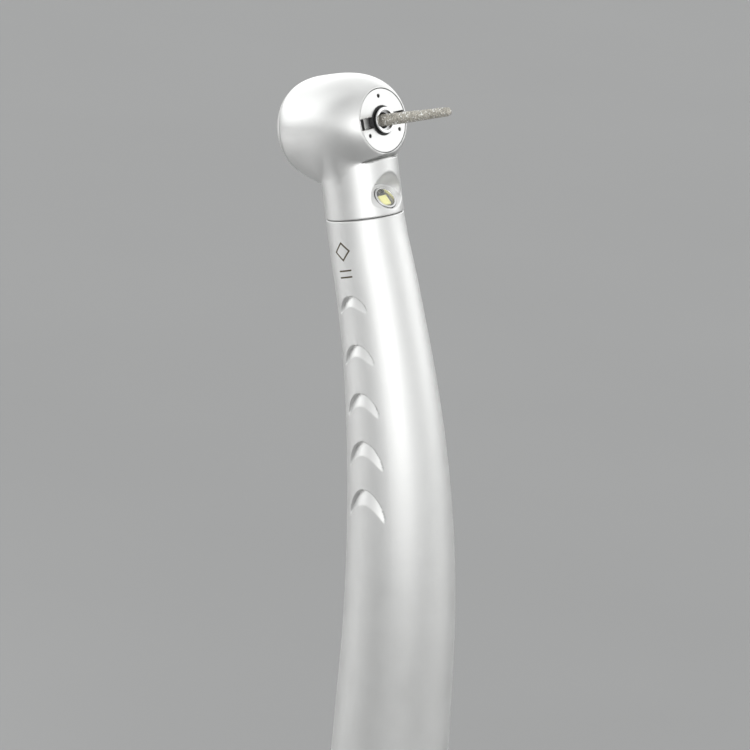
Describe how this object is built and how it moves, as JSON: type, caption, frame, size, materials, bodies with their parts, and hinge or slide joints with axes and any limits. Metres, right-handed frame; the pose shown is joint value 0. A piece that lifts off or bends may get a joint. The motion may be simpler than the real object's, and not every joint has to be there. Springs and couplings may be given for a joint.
{
  "type": "high speed handpiece",
  "caption": "High speed dental handpiece: air turbine head with push-button chuck, diamond bur, lamp under the head, curved grip and four-hole tail.",
  "frame": {"origin": "centre of the tail connector's end face, where the hose coupling seats", "axes": "+Z along the rear of the grip towards the head, and the neck bends towards +Y so that the bur points to -Y"},
  "size_m": [0.0136, 0.0274, 0.1284],
  "materials": {
    "satin_steel": "satin, bead-blasted",
    "polished_steel": "polished",
    "bearing_steel": "ground",
    "cage_resin": "matte",
    "aluminium": "machined",
    "brass": "machined",
    "diamond_grit": "diamond grit in nickel",
    "black_rubber": "matte",
    "clear_glass": "clear",
    "phosphor": "satin",
    "circuit_board": "matte",
    "magnet": "nickel plated, dark",
    "copper": "enamelled",
    "red_wire": "satin",
    "black_wire": "satin",
    "silicone": "translucent"
  },
  "bodies": {
    "root": {"head_housing": "satin_steel", "front_cover": "satin_steel", "back_cap": "satin_steel", "button_seat_plate": "polished_steel", "button_spring": "bearing_steel", "front_dust_shield": "polished_steel", "preload_washer": "bearing_steel", "led_bezel": "polished_steel", "led_lens": "clear_glass", "led_chip": "phosphor", "led_board": "circuit_board", "led_seal_ring": "silicone", "neck_o_ring": "black_rubber", "handle_shell": "satin_steel", "drive_air_tube": "polished_steel", "water_tube": "polished_steel", "chip_air_tube": "polished_steel", "inlet_air_tube": "polished_steel", "led_wire_positive": "red_wire", "led_wire_negative": "black_wire", "tube_spacer_rear": "aluminium", "tube_spacer_front": "aluminium", "generator_housing": "aluminium", "generator_rear_cap": "aluminium", "generator_front_cap": "aluminium", "generator_rear_bush": "brass", "generator_front_bush": "brass", "generator_stator": "bearing_steel", "generator_coil_a": "copper", "generator_coil_b": "copper", "generator_coil_c": "copper", "tail_connector": "polished_steel", "anti_retraction_valve": "silicone", "tail_o_ring": "black_rubber", "retaining_nut": "satin_steel", "front_bearing_outer_race": "bearing_steel", "front_bearing_o_ring": "black_rubber", "rear_bearing_outer_race": "bearing_steel", "rear_bearing_o_ring": "black_rubber"},
    "rotor": {"rotor_spindle": "polished_steel", "impeller": "aluminium", "chuck_collet": "bearing_steel", "front_bearing_inner_race": "bearing_steel", "rear_bearing_inner_race": "bearing_steel"},
    "bur": {"diamond_bur": "diamond_grit"},
    "button": {"push_button": "satin_steel"},
    "pusher": {"chuck_pusher": "bearing_steel"},
    "front_cage": {"front_bearing_ball_cage": "cage_resin"},
    "rear_cage": {"rear_bearing_ball_cage": "cage_resin"},
    "generator_rotor": {"generator_shaft": "polished_steel", "generator_magnet": "magnet", "generator_impeller": "aluminium"}
  },
  "joints": [
    {"name": "turbine_spin", "type": "hinge", "parent": "root", "child": "rotor", "pos_m": [0, 0.01285, 0.12255], "axis": [0, -0.9421, 0.3355], "continuous": true},
    {"name": "bur_release", "type": "slide", "parent": "rotor", "child": "bur", "axis": [0, -0.9421, 0.3355], "range_m": [0, 0.0125]},
    {"name": "button_press", "type": "slide", "parent": "root", "child": "button", "axis": [0, -0.9421, 0.3355], "range_m": [0, 0.0005], "stiffness_N_per_m": 40, "springref_m": -0.0005, "deforming": ["button_spring"]},
    {"name": "chuck_push", "type": "slide", "parent": "rotor", "child": "pusher", "axis": [0, -0.9421, 0.3355], "range_m": [0, 0.00025]},
    {"name": "front_cage_spin", "type": "hinge", "parent": "root", "child": "front_cage", "pos_m": [0, 0.01285, 0.12255], "axis": [0, -0.9421, 0.3355], "continuous": true},
    {"name": "rear_cage_spin", "type": "hinge", "parent": "root", "child": "rear_cage", "pos_m": [0, 0.01285, 0.12255], "axis": [0, -0.9421, 0.3355], "continuous": true},
    {"name": "generator_spin", "type": "hinge", "parent": "root", "child": "generator_rotor", "pos_m": [0, 0, 0.031], "axis": [0, 0, 1], "continuous": true}
  ],
  "couplings": [
    {"joint": "chuck_push", "follows": "button_press", "ratio": 0.5},
    {"joint": "front_cage_spin", "follows": "turbine_spin", "ratio": 0.4025},
    {"joint": "rear_cage_spin", "follows": "turbine_spin", "ratio": 0.4025}
  ]
}
